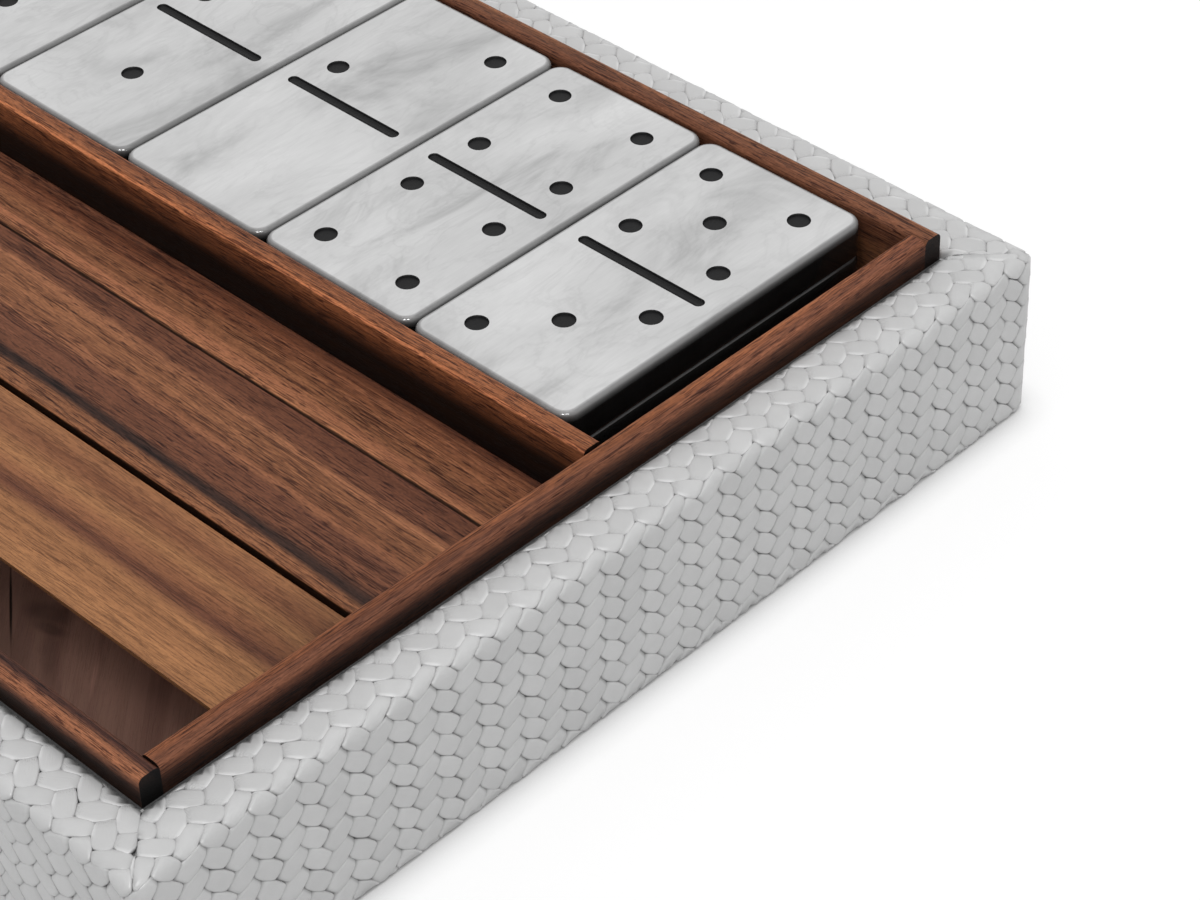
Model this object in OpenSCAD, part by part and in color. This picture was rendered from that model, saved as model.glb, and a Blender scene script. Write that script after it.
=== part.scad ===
// Domino storage box: a low case wrapped in braided leather, with a walnut liner inside.
// The back bay holds a double-six set, stacked four deep in seven columns. The front bay
// holds three wedge-shaped tile racks. The one against the divider stands upright. The
// other two lie base up, the middle one nested over the slope of the first.
// Origin: centre of the underside. +X runs along the row of tiles, +Y points to the tile
// bay, +Z points up. All sizes are in millimetres.

/* [Tiles] */
// Length of a tile
tile_l = 56; // [50:1:60]
// Width of a tile
tile_w = 28; // [26:1:30]
// Thickness of a tile
tile_t = 5.6; // [5:0.2:7]
// Thickness of the pale layer of a tile, which carries the marks
face_t = 1.5; // [1.2:0.1:2.5]
// Radius of a tile's corners, seen from above
tile_corner_r = 2.5; // [1:0.5:4]
// Radius of a tile's eased edges
tile_edge_r = 0.8; // [0.3:0.1:1]
// Diameter of a pip
pip_d = 3.2; // [2.4:0.2:3.6]
// Length of the bar across the middle of a tile
bar_l = 21.8; // [16:0.2:23]
// Width of the bar
bar_w = 1.7; // [1.2:0.1:2.4]
// Depth of the pips and the bar below the face
mark_depth = 0.3; // [0.2:0.1:0.8]
// Gap between neighbouring columns of tiles
tile_gap = 0.2; // [0.1:0.1:0.6]

/* [Liner] */
// Thickness of the walnut rails and the divider
wall_t = 3; // [2.5:0.5:5]
// Radius of the eased top edges of the walnut
wall_edge_r = 0.8; // [0.3:0.1:1.2]
// Finger gap between the row of tiles and each end rail
end_gap = 6.6; // [5:0.2:12]
// Clearance between a tile and the long sides of its bay
side_clear = 0.4; // [0.2:0.1:1]
// How far the top tiles lie below the top of the rails
tile_drop = 0.6; // [0.2:0.1:2]
// Gap between each end of the divider and its rail
divider_gap = 0.2; // [0.1:0.1:0.5]
// Width of the finger space in front of the racks
finger_w = 15.1; // [14:0.1:24]

/* [Racks] */
// Width of a rack across its base
rack_base_w = 20.8; // [20:0.2:24]
// Width of a rack across its top
rack_top_w = 10.1; // [9:0.1:11]
// Height of a rack
rack_h = 13.9; // [13:0.1:16]
// Height of the square land between a rack's base and its slope
rack_land = 0.6; // [0.4:0.1:0.8]
// Gap between neighbouring racks
rack_gap = 0.95; // [0.8:0.05:1.6]
// Gap between each end of a rack and its rail
rack_end_gap = 0.5; // [0.3:0.1:2]
// Width of the slot that holds the tiles on edge
slot_w = 6.2; // [6:0.1:6.4]
// Height of the slot's floor above the rack's base
slot_floor = 1.6; // [1.4:0.1:2]
// How far in front of the rack's top the slot's floor begins
slot_setback = 1.65; // [1.6:0.05:1.8]
// How far the slot leans back from upright, in degrees
slot_lean = 5; // [3:0.5:6]

/* [Case] */
// Width of the leather lip around the liner
lip_w = 9; // [7:0.2:16]
// How far the walnut stands above the lip
lip_drop = 3.6; // [2:0.2:8]
// Thickness of the braided leather
leather_t = 1.5; // [1.2:0.1:2]
// Radius of the upper edge of the leather
top_r = 1.4; // [0.8:0.2:4]
// Radius of the upright corners of the leather
corner_r = 2; // [1:0.5:5]
// Radius of the lower edge of the leather
foot_r = 0.4; // [0.4:0.2:1]
// Width of the hem that is turned under the base
hem_w = 12; // [10:1:16]
// Height of the felt pad's face below the hem
pad_proud = 0.2; // [0.1:0.1:0.5]
// Thickness of the base board
board_t = 3; // [2:0.2:5]
// Thickness of the walnut floor panel
floor_t = 1.6; // [1.2:0.2:3]

/* [Hidden] */
$fn = 48;

// The double-six set, one row of pairs for each layer. The top layer comes first and each
// row starts at the +X end. The first number of a pair is the half towards +Y.
LAYOUT = [
    [[5, 3], [4, 4], [2, 0], [3, 1], [6, 1], [5, 5], [6, 4]],
    [[0, 0], [6, 2], [5, 1], [3, 3], [4, 2], [6, 0], [1, 1]],
    [[4, 1], [3, 0], [6, 6], [2, 2], [5, 0], [4, 3], [2, 1]],
    [[6, 5], [1, 0], [5, 4], [4, 0], [3, 2], [6, 3], [5, 2]]
];
layers = len(LAYOUT);
columns = len(LAYOUT[0]);

// Tiles
tile_pitch = tile_w + tile_gap;
back_t = tile_t - face_t;
pip_offset = 0.277 * tile_w;
half_centre = tile_l / 4;

// Plan of the liner
inner_l = columns * tile_pitch - tile_gap + 2 * end_gap;
tile_bay_w = tile_l + 2 * side_clear;
rack_bay_w = rack_top_w + 2 * rack_base_w + 2 * rack_gap + finger_w;
inner_w = tile_bay_w + wall_t + rack_bay_w;
liner_l = inner_l + 2 * wall_t;
liner_w = inner_w + 2 * wall_t;
tile_y = (inner_w - tile_bay_w) / 2;
divider_y = inner_w / 2 - tile_bay_w - wall_t / 2;

// Plan of the case
case_l = liner_l + 2 * lip_w;
case_w = liner_w + 2 * lip_w;
core_l = case_l - 2 * leather_t;
core_w = case_w - 2 * leather_t;

// Levels
hem_z = pad_proud;
core_z = hem_z + leather_t;
board_z = core_z + board_t;
floor_z = board_z + floor_t;
rail_z = floor_z + layers * tile_t + tile_drop;
lip_z = rail_z - lip_drop;

// Racks: where the upright back of each one stands
rack_l = inner_l - 2 * rack_end_gap;
rack_back_y = divider_y - wall_t / 2;
rack_middle_y = rack_back_y - rack_top_w - rack_gap - rack_base_w;
rack_front_y = rack_middle_y - rack_gap;
rack_edge_r = 0.4;

// Colours
WALNUT = [0.36, 0.22, 0.15];
WALNUT_LIGHT = [0.52, 0.35, 0.24];
PALE_LEATHER = [0.78, 0.78, 0.77];
MARBLE = [0.90, 0.90, 0.89];
BLACK = [0.05, 0.05, 0.05];
CORE_WOOD = [0.76, 0.65, 0.48];
FELT = [0.30, 0.30, 0.30];

// ---- Shared forms -------------------------------------------------------------------

function unit(v) = v / norm(v);
function half_angle(a, p, b) = acos(unit(a - p) * unit(b - p)) / 2;

// The points where the arc at corner p leaves the sides that run to a and to b.
function arc_ends(a, p, b, r) =
    r == 0 ? [p] : [for (side = [a, b]) p + unit(side - p) * r / tan(half_angle(a, p, b))];

function arc_centre(a, p, b, r) =
    p + unit(unit(a - p) + unit(b - p)) * r / sin(half_angle(a, p, b));

// Convex outline through the given points, each corner rounded to its own radius.
module eased_outline(points, radii) {
    n = len(points);
    before = [for (i = [0:n - 1]) points[(i + n - 1) % n]];
    after = [for (i = [0:n - 1]) points[(i + 1) % n]];
    polygon([for (i = [0:n - 1]) each arc_ends(before[i], points[i], after[i], radii[i])]);
    for (i = [0:n - 1]) if (radii[i] > 0)
        translate(arc_centre(before[i], points[i], after[i], radii[i])) circle(radii[i]);
}

// Rectangle w by h, centred on x and standing on y = 0.
module eased_rect(w, h, lower_r, upper_r) {
    eased_outline([[-w / 2, 0], [w / 2, 0], [w / 2, h], [-w / 2, h]],
                  [lower_r, lower_r, upper_r, upper_r]);
}

// Turns an upright section into a bar of length l that runs along X.
module along_x(l) {
    rotate([90, 0, 90]) linear_extrude(l, center = true) children();
}

// Turns an upright section into a bar of length l that runs along Y.
module along_y(l) {
    rotate([90, 0, 0]) linear_extrude(l, center = true) children();
}

// Block l by w by h on z = 0, with rounded upright corners, lower edges and upper edges.
module eased_block(l, w, h, plan_r, lower_r, upper_r) {
    intersection() {
        linear_extrude(h) translate([0, -w / 2]) eased_rect(l, w, plan_r, plan_r);
        along_x(l) eased_rect(w, h, lower_r, upper_r);
        along_y(w) eased_rect(l, h, lower_r, upper_r);
    }
}

// ---- Case ---------------------------------------------------------------------------

// Radius of an edge of the core under a rounded edge of the leather, square where the
// leather's own radius is no larger than its thickness.
function core_r(cover_r) = max(cover_r - leather_t, 0);

// Everything inside the leather.
module core_form() {
    translate([0, 0, core_z])
        eased_block(core_l, core_w, lip_z - leather_t - core_z, core_r(corner_r), 0, core_r(top_r));
}

// The space that the liner fills, from the base board upwards.
module liner_space() {
    translate([-liner_l / 2, -liner_w / 2, board_z]) cube([liner_l, liner_w, rail_z]);
}

// The space inside the hem, right through to the base board.
module pad_space() {
    linear_extrude(core_z) square([case_l - 2 * hem_w, case_w - 2 * hem_w], center = true);
}

// One piece of braided leather that covers the lip, the sides and the edge of the base.
module leather_cover() {
    color(PALE_LEATHER) difference() {
        translate([0, 0, hem_z])
            eased_block(case_l, case_w, lip_z - hem_z, corner_r, foot_r, top_r);
        core_form();
        liner_space();
        pad_space();
    }
}

// Felt pad that fills the space inside the hem and stands a little proud of it.
module felt_pad() {
    color(FELT) pad_space();
}

module base_board() {
    color(CORE_WOOD) translate([0, 0, core_z]) linear_extrude(board_t)
        square([liner_l, liner_w], center = true);
}

// Long core rail, full length. turn is 1 for the back and -1 for the front.
module core_long(turn) {
    color(CORE_WOOD) intersection() {
        core_form();
        translate([-core_l / 2, turn > 0 ? liner_w / 2 : -core_w / 2, 0])
            cube([core_l, (core_w - liner_w) / 2, rail_z]);
    }
}

// Short core rail, between the long ones. turn is 1 for the right and -1 for the left.
module core_short(turn) {
    color(CORE_WOOD) intersection() {
        core_form();
        translate([turn > 0 ? liner_l / 2 : -core_l / 2, -liner_w / 2, 0])
            cube([(core_l - liner_l) / 2, liner_w, rail_z]);
    }
}

// ---- Walnut liner -------------------------------------------------------------------

module floor_panel() {
    color(WALNUT) translate([0, 0, board_z]) linear_extrude(floor_t)
        square([inner_l, inner_w], center = true);
}

// Section of a walnut board that stands from level z0 to the top of the rails.
module wall_section(z0) {
    translate([0, z0]) eased_rect(wall_t, rail_z - z0, 0, wall_edge_r);
}

// Long rail, full length, with its end grain showing. turn is 1 for the back, -1 for the front.
module rail_long(turn) {
    color(WALNUT) translate([0, turn * (inner_w + wall_t) / 2, 0])
        along_x(liner_l) wall_section(board_z);
}

// Short rail, between the long ones. turn is 1 for the right, -1 for the left.
module rail_short(turn) {
    color(WALNUT) translate([turn * (inner_l + wall_t) / 2, 0, 0])
        along_y(inner_w) wall_section(board_z);
}

module divider() {
    color(WALNUT) translate([0, divider_y, 0])
        along_x(inner_l - 2 * divider_gap) wall_section(floor_z);
}

// ---- Racks --------------------------------------------------------------------------

// Upright section of a rack. Its back stands at y = 0 and its slope faces -Y.
module rack_section() {
    difference() {
        eased_outline([[0, 0], [0, rack_h], [-rack_top_w, rack_h],
                       [-rack_base_w, rack_land], [-rack_base_w, 0]],
                      [rack_edge_r, rack_edge_r, rack_edge_r, 0, 0]);
        translate([-rack_top_w - slot_setback, slot_floor]) rotate(-slot_lean)
            translate([-slot_w, 0]) square([slot_w, rack_h]);
    }
}

module rack_upright() {
    along_x(rack_l) rack_section();
}

// Rack turned base up. Its back stands at y = 0 and its slope faces -Y.
module rack_base_up() {
    translate([0, 0, rack_h]) mirror([0, 0, 1]) rack_upright();
}

module rack_back() {
    color(WALNUT) translate([0, rack_back_y, floor_z]) rack_upright();
}

module rack_middle() {
    color(WALNUT) translate([0, rack_middle_y, floor_z]) mirror([0, 1, 0]) rack_base_up();
}

module rack_front() {
    color(WALNUT_LIGHT) translate([0, rack_front_y, floor_z]) rack_base_up();
}

// ---- Tiles --------------------------------------------------------------------------

// Places of the pips for each number from 0 to 6, in units of pip_offset.
diagonal = [[1, 1], [-1, -1]];
other_diagonal = [[1, -1], [-1, 1]];
sides = [[1, 0], [-1, 0]];
centre = [[0, 0]];
PIPS = [
    [],
    centre,
    diagonal,
    concat(diagonal, centre),
    concat(diagonal, other_diagonal),
    concat(diagonal, other_diagonal, centre),
    concat(diagonal, other_diagonal, sides)
];

// Pips of one half. turn is 1 for the half towards +Y and -1 for the other.
module pips(number, turn) {
    for (place = PIPS[number])
        translate([pip_offset * place.x, turn * half_centre + pip_offset * place.y, -mark_depth])
            cylinder(d = pip_d, h = mark_depth + 1);
}

// Bar across the middle, with round ends.
module bar() {
    straight = bar_l - bar_w;
    translate([0, 0, -mark_depth]) linear_extrude(mark_depth + 1) {
        square([straight, bar_w], center = true);
        for (s = [-1, 1]) translate([s * straight / 2, 0]) circle(d = bar_w);
    }
}

// One tile on z = 0: a black back and a pale face with sunk marks.
module tile(upper, lower) {
    color(BLACK) eased_block(tile_w, tile_l, back_t, tile_corner_r, tile_edge_r, 0);
    color(MARBLE) difference() {
        translate([0, 0, back_t])
            eased_block(tile_w, tile_l, face_t, tile_corner_r, 0, tile_edge_r);
        translate([0, 0, tile_t]) {
            pips(upper, 1);
            pips(lower, -1);
            bar();
        }
    }
}

function tile_name(pair) = str("tile_", pair[0], "_", pair[1]);
function tile_x(column) = ((columns - 1) / 2 - column) * tile_pitch;
function tile_z(layer) = floor_z + (layers - 1 - layer) * tile_t;

leather_cover();
felt_pad();
base_board();
core_long(1);  // core_back
core_long(-1);  // core_front
core_short(-1);  // core_left
core_short(1);  // core_right
floor_panel();
rail_long(1);  // rail_back
rail_long(-1);  // rail_front
rail_short(-1);  // rail_left
rail_short(1);  // rail_right
divider();
rack_back();
rack_middle();
rack_front();
for (layer = [0:layers - 1]) for (column = [0:columns - 1])
    translate([tile_x(column), tile_y, tile_z(layer)])
            tile(LAYOUT[layer][column][0], LAYOUT[layer][column][1]);
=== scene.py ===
"""Looks of the domino storage box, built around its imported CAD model.

Lengths are in millimetres until they reach a mesh, which is in metres.
+X runs along the row of tiles, +Y points to the tile bay and +Z points up.
"""
import math

import bpy
import numpy as np
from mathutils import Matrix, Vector
from mathutils.geometry import delaunay_2d_cdt


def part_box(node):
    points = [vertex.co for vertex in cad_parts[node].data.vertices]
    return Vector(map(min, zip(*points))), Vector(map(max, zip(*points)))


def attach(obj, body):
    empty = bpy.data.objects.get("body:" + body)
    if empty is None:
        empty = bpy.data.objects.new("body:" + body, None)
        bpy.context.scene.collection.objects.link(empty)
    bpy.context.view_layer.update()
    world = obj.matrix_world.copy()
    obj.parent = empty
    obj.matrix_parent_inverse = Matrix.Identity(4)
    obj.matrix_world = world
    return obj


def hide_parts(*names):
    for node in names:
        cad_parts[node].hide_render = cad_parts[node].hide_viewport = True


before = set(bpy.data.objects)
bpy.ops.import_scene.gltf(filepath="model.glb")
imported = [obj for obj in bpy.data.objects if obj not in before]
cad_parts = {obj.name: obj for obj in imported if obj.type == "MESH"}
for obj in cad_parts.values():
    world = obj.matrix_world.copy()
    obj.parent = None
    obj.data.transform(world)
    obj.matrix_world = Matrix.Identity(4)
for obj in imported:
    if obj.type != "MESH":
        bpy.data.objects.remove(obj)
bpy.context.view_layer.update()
bpy.context.scene.view_settings.view_transform = "Standard"

MM = 0.001
random = np.random.default_rng(28)


def box_mm(node):
    """Lowest and highest corner of a CAD node, in millimetres."""
    low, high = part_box(node)
    return np.array(low) / MM, np.array(high) / MM


def make_piece(name, points, faces, body, replaced=()):
    """A smooth-shaded piece, from points in millimetres, that rides on a body."""
    mesh = bpy.data.meshes.new(name)
    mesh.from_pydata((np.asarray(points) * MM).tolist(), [], faces)
    mesh.shade_smooth()
    piece = bpy.data.objects.new(name, mesh)
    bpy.context.scene.collection.objects.link(piece)
    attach(piece, body)
    if replaced:
        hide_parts(*replaced)
    return piece


# ---- Node trees -----------------------------------------------------------------------

class Tree:
    """Shorthand for the nodes of one material or world."""

    def __init__(self, owner):
        owner.use_nodes = True
        self.nodes, self.links = owner.node_tree.nodes, owner.node_tree.links
        self.nodes.clear()

    def add(self, kind, feeds=(), **settings):
        """A node with its settings, and its inputs fed by a value or a socket."""
        node = self.nodes.new("ShaderNode" + kind)
        for key, value in settings.items():
            setattr(node, key, value)
        for socket, value in dict(feeds).items():
            if isinstance(value, bpy.types.NodeSocket):
                self.links.new(value, node.inputs[socket])
            else:
                node.inputs[socket].default_value = value
        return node

    def math(self, operation, *values):
        node = self.add("Math", enumerate(values), operation=operation)
        return node.outputs[0]

    def blend(self, mode, factor, a, b):
        node = self.add("Mix", {0: factor, 6: a, 7: b}, data_type="RGBA", blend_type=mode)
        return node.outputs[2]

    def join(self, x, y, z):
        return self.add("CombineXYZ", enumerate((x, y, z))).outputs[0]

    def noise(self, vector, scale=1.0, detail=2.0, roughness=0.5, distortion=0.0):
        node = self.add("TexNoise", {"Vector": vector, "Scale": scale, "Detail": detail,
                                     "Roughness": roughness, "Distortion": distortion})
        return node.outputs["Fac"]

    def ramp(self, factor, stops, interpolation="LINEAR"):
        """Colours at places from 0 to 1. A stop is (place, grey) or (place, colour)."""
        node = self.add("ValToRGB", {0: factor})
        node.color_ramp.interpolation = interpolation
        elements = node.color_ramp.elements
        while len(elements) < len(stops):
            elements.new(0.5)
        for element, (place, colour) in zip(elements, stops):
            element.position = place
            element.color = (*colour, 1) if hasattr(colour, "__len__") else (*[colour] * 3, 1)
        return node.outputs[0]

    def scaled(self, vector, scale, move=(0, 0, 0)):
        node = self.add("Mapping", {"Vector": vector, "Scale": scale, "Location": move})
        return node.outputs[0]

    def place_mm(self):
        """Where a point is in the frame at rest, in millimetres."""
        coordinates = self.add("TexCoord").outputs["Object"]
        return self.scaled(coordinates, (1 / MM,) * 3)

    def bump(self, height, distance, strength=1.0):
        node = self.add("Bump", {"Height": height, "Distance": distance * MM,
                                 "Strength": strength})
        return node.outputs[0]

    def surface(self, feeds, **settings):
        shader = self.add("BsdfPrincipled", feeds, **settings)
        self.add("OutputMaterial", {"Surface": shader.outputs[0]})
        return shader


def make_material(name):
    material = bpy.data.materials.new(name)
    return material, Tree(material)


def srgb(*levels):
    """Linear colour of 0 to 255 screen levels."""
    return tuple((v / 255 / 12.92) if v < 10.3 else ((v / 255 + 0.055) / 1.055) ** 2.4
                 for v in levels)


# ---- Mesh building --------------------------------------------------------------------

CORNER_STEPS = 8
OUTLINE_SIZE = 4 * (CORNER_STEPS + 1)


def rounded_rect(half_x, half_y, radius, steps=CORNER_STEPS):
    """Anticlockwise outline of a rectangle with round corners."""
    points = []
    for corner, (sx, sy) in enumerate(((1, 1), (-1, 1), (-1, -1), (1, -1))):
        for step in range(steps + 1):
            angle = math.pi / 2 * (corner + step / steps)
            points.append((sx * (half_x - radius) + radius * math.cos(angle),
                           sy * (half_y - radius) + radius * math.sin(angle)))
    return points


def ring_faces(first, second, size):
    """Faces between two rings of points, whose first points have these numbers."""
    return [(first + i, first + (i + 1) % size, second + (i + 1) % size, second + i)
            for i in range(size)]


class Builder:
    """Collects the points, the faces and each face's material number for one mesh."""

    def __init__(self):
        self.points, self.faces, self.materials = [], [], []

    def ring(self, outline, z):
        """Adds an outline at a height, and returns the number of its first point."""
        start = len(self.points)
        self.points += [(x, y, z) for x, y in outline]
        return start

    def add(self, faces, material=0):
        self.faces += faces
        self.materials += [material] * len(faces)


# ---- Camera, floor and light ----------------------------------------------------------

CAMERA_AT = (323.5, -209.1, 282.45)
CAMERA_TURN = (50.354, 1.475, 44.062)
CAMERA_LENS = 99.69
SENSOR_W = 36.0

# FLOOR_SIZE is in metres. The floor's two tones are what it sends back to the object, and what
# the camera sees besides the lift to white.
FLOOR_SIZE = 6.0
FLOOR_LIT, FLOOR_SEEN = 0.62, 0.35
SEAM_W = 5.0
WORLD_LIGHT = 0.8
# Each lamp's name, place and size in metres, power, and whether it lights matt surfaces too.
# The small ones make the pair of glints on each tile's corner.
LAMPS = (("key", (0.35, -0.05, 1.5), 1.1, 5.9, True),
         ("glint_left", (0.56, -0.90, 1.06), 0.2, 12.0, False),
         ("glint_right", (0.90, -0.56, 1.06), 0.2, 12.0, False))


def make_camera():
    """The photo's camera, worked out from the tiles' marks and the rails."""
    data = bpy.data.cameras.new("camera")
    data.lens = CAMERA_LENS
    data.sensor_width = SENSOR_W
    camera = bpy.data.objects.new("camera", data)
    camera.location = Vector(CAMERA_AT) * MM
    camera.rotation_euler = [math.radians(turn) for turn in CAMERA_TURN]
    bpy.context.scene.collection.objects.link(camera)
    bpy.context.scene.camera = camera


def make_floor():
    """A pale floor that the camera sees as white, apart from the object's shadow.

    The seam of shade along the foot of the case comes from how closed in the floor is there.
    """
    half = FLOOR_SIZE / 2
    mesh = bpy.data.meshes.new("floor")
    mesh.from_pydata([(-half, -half, 0), (half, -half, 0), (half, half, 0), (-half, half, 0)],
                     [], [(0, 1, 2, 3)])
    floor = bpy.data.objects.new("floor", mesh)
    bpy.context.scene.collection.objects.link(floor)
    material, tree = make_material("floor")
    mesh.materials.append(material)
    path = tree.add("LightPath").outputs
    lit = tree.add("BsdfDiffuse", {"Color": (*[FLOOR_LIT] * 3, 1)})
    seen = tree.add("BsdfDiffuse", {"Color": (*[FLOOR_SEEN] * 3, 1)})
    open_share = tree.add("AmbientOcclusion", {"Distance": SEAM_W * MM}, samples=8).outputs["AO"]
    seam = tree.ramp(open_share, [(0.3, 0.1), (0.5, 0.35), (0.75, 0.55), (1.0, 0.67)])
    lift = tree.add("Emission", {"Color": seam, "Strength": 1.0})
    white = tree.add("AddShader", {0: seen.outputs[0], 1: lift.outputs[0]})
    looked_at = tree.math("MAXIMUM", path["Is Camera Ray"], path["Is Glossy Ray"])
    both = tree.add("MixShader", {0: looked_at, 1: lit.outputs[0], 2: white.outputs[0]})
    tree.add("OutputMaterial", {"Surface": both.outputs[0]})


def make_light():
    """A white room, which is a little dimmer than it looks, and the lamps."""
    world = bpy.data.worlds.new("studio")
    bpy.context.scene.world = world
    tree = Tree(world)
    path = tree.add("LightPath").outputs
    looked_at = tree.math("MAXIMUM", path["Is Camera Ray"], path["Is Transmission Ray"])
    light = tree.add("Background", {"Color": (1, 1, 1, 1), "Strength": WORLD_LIGHT})
    white = tree.add("Background", {"Color": (1, 1, 1, 1), "Strength": 1.0})
    both = tree.add("MixShader", {0: looked_at, 1: light.outputs[0], 2: white.outputs[0]})
    tree.add("OutputWorld", {"Surface": both.outputs[0]})
    for name, place, size, power, on_matt in LAMPS:
        data = bpy.data.lights.new(name, "AREA")
        data.energy = power
        data.size = size
        lamp = bpy.data.objects.new(name, data)
        lamp.location = place
        lamp.visible_diffuse = on_matt
        lamp.rotation_euler = Vector(place).to_track_quat("Z", "Y").to_euler()
        bpy.context.scene.collection.objects.link(lamp)


# ---- Braided leather ------------------------------------------------------------------

HEM_W = 12.0
cover_low, cover_high = box_mm("leather_cover")
CASE_A, CASE_B = cover_high[0], cover_high[1]
LIP_Z, HEM_Z = cover_high[2], cover_low[2]
LIP_W = CASE_A - box_mm("rail_right")[1][0]

# EDGE_SLACK is how much longer the braid's path over the edge is than the edge's own arc.
EDGE_R = 1.5
CORNER_R = 1.8
FOOT_R = 0.3
EDGE_SLACK = 0.48

# The weave: floats in a herringbone, PERIODS columns of pairs round the case. Each turn round
# the case drops by DROP_ROWS rows. WEAVE_AT is the centre of one falling float on the +X side,
# along Y and Z. On the lip the braid is pulled sideways by LIP_SHEAR.
PERIODS = 113
DROP_ROWS = 5
WEAVE_AT = (3.28, 9.84)
LIP_SHEAR = 1.05
SHEAR_FROM, SHEAR_TO = 7.0, 10.5

perimeter = 4 * (CASE_A + CASE_B) - 8 * CORNER_R + 2 * math.pi * CORNER_R
edge_start = LIP_W - EDGE_R
edge_end = edge_start + EDGE_R * math.pi / 2 + EDGE_SLACK
foot_start = edge_end + LIP_Z - EDGE_R - HEM_Z - FOOT_R
foot_end = foot_start + FOOT_R * math.pi / 2
hem_end = foot_end + HEM_W - FOOT_R


def profile(t):
    """Inset, height and normal of the leather's section at path lengths t.

    t is 0 beside the walnut, and grows across the lip, down the side and under the base.
    """
    edge = np.clip((t - edge_start) / (edge_end - edge_start), 0, 1) * math.pi / 2
    foot = np.clip((t - foot_start) / (foot_end - foot_start), 0, 1) * math.pi / 2
    down = np.clip(t - edge_end, 0, foot_start - edge_end)
    under = np.clip(t - foot_end, 0, None)
    on_lip = np.minimum(t, edge_start)
    inset = np.where(t < edge_end, LIP_W - on_lip - EDGE_R * np.sin(edge),
                     FOOT_R * (1 - np.cos(foot)) + under)
    z = LIP_Z - EDGE_R * (1 - np.cos(edge)) - down - FOOT_R * np.sin(foot)
    outward = np.where(t < edge_end, np.sin(edge), np.cos(foot))
    upward = np.where(t < edge_end, np.cos(edge), -np.sin(foot))
    return inset, z, outward, upward


def corner_cut(inset):
    """How much of the outer length each side of a corner loses at an inset."""
    return np.minimum(inset, CORNER_R) * math.pi / 4 + np.maximum(inset - CORNER_R, 0)


def around(s, inset):
    """Plan positions, outward directions and distances from the mitres at lengths s."""
    half_a = CASE_A - CORNER_R + CORNER_R * math.pi / 4
    half_b = CASE_B - CORNER_R + CORNER_R * math.pi / 4
    middles = np.array([half_b, half_b + 2 * half_a, 3 * half_b + 2 * half_a,
                        3 * half_b + 4 * half_a])
    centres = np.array([(1, 1), (-1, 1), (-1, -1), (1, -1)]) * (CASE_A - CORNER_R,
                                                               CASE_B - CORNER_R)
    gaps = (s[..., None] - middles + perimeter / 2) % perimeter - perimeter / 2
    nearest = np.abs(gaps).argmin(-1)
    gap = np.take_along_axis(gaps, nearest[..., None], -1)[..., 0]
    side = np.where(gap < 0, -1.0, 1.0)
    clear = np.abs(gap) - corner_cut(inset)
    length = np.maximum(clear, 0)
    radius = CORNER_R - inset
    arc = np.maximum(radius, 0) * math.pi / 4
    turn = np.where(length < arc, length / np.maximum(radius, 1e-6), math.pi / 4)
    straight = np.where(radius > 0, np.maximum(length - arc, 0), length - radius)
    angle = math.pi / 4 + nearest * math.pi / 2 + side * turn
    normal = np.stack([np.cos(angle), np.sin(angle)], -1)
    tangent = np.stack([-np.sin(angle), np.cos(angle)], -1) * side[..., None]
    place = centres[nearest] + radius[..., None] * normal + straight[..., None] * tangent
    return place, normal, clear


def on_leather(s, t, height):
    """Points at a height above the leather's surface."""
    inset, z, outward, upward = profile(t)
    place, normal, _ = around(s, inset)
    plan = place + normal * (outward * height)[..., None]
    return np.concatenate([plan, (z + upward * height)[..., None]], -1)


# The two kinds of float. Their long edges run through three points, in millimetres from the
# float's centre: along the perimeter, then down the case. A falling float runs down to the
# right. Its lower right end is rounded and lies on top, and its other end is tucked under a
# rising float. A rising float is tucked in at both ends and along its upper edge.
FALLING = {"lower": ((-2.25, -0.58), (-1.13, 1.03), (0.72, 2.17)),
           "upper": ((-1.13, -2.35), (0.72, -1.22), (2.17, 0.53)),
           "along": (-0.25, -0.12, 0, 0.1, 0.2, 0.5, 0.8, 0.87, 0.92, 0.96, 0.985, 1, 1),
           "across": (0, 0, 0.03, 0.07, 0.11, 0.2, 0.5, 0.89, 0.93, 0.97, 1, 1),
           "open_end": True}
RISING = {"lower": ((-1.25, 2.14), (0.75, 1.72), (2.28, -0.59)),
          "upper": ((-2.7, 0.41), (-1.25, -1.22), (1.17, -2.18)),
          "along": (-0.25, -0.1, 0, 0.08, 0.17, 0.5, 0.83, 0.92, 1, 1.1, 1.25),
          "across": (0, 0, 0.03, 0.07, 0.11, 0.4, 0.72, 0.82, 0.89, 0.95, 1, 1.1),
          "open_end": False}
FLOAT_L, FLOAT_W = 4.3, 2.65
# How far the open end bulges, and the widths and drops of the rounded edges.
END_BULGE = 0.42
END_ROUND, END_FALL = 0.55, 0.5
SIDE_ROUND, SIDE_FALL = 0.3, 0.32
RISING_FALL = 0.5
# The widths and drops of the tucked edges. The gully is where a rising float's first half
# dives deeper, below the end of the falling float over it.
TUCK_W, TUCK_DEPTH = 0.55, 0.26
SIDE_TUCK_W, SIDE_TUCK_DEPTH = 0.38, 0.34
GULLY_W, GULLY_DEPTH = 0.35, 0.4
# The share of the relief that is left on the lip and at the foot, the foot's reach, and how
# far a float's walls run down from its rim.
LIP_RELIEF = 0.5
FOOT_RELIEF = 0.4
FOOT_FLAT = 1.5
SKIRT = 0.5


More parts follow.
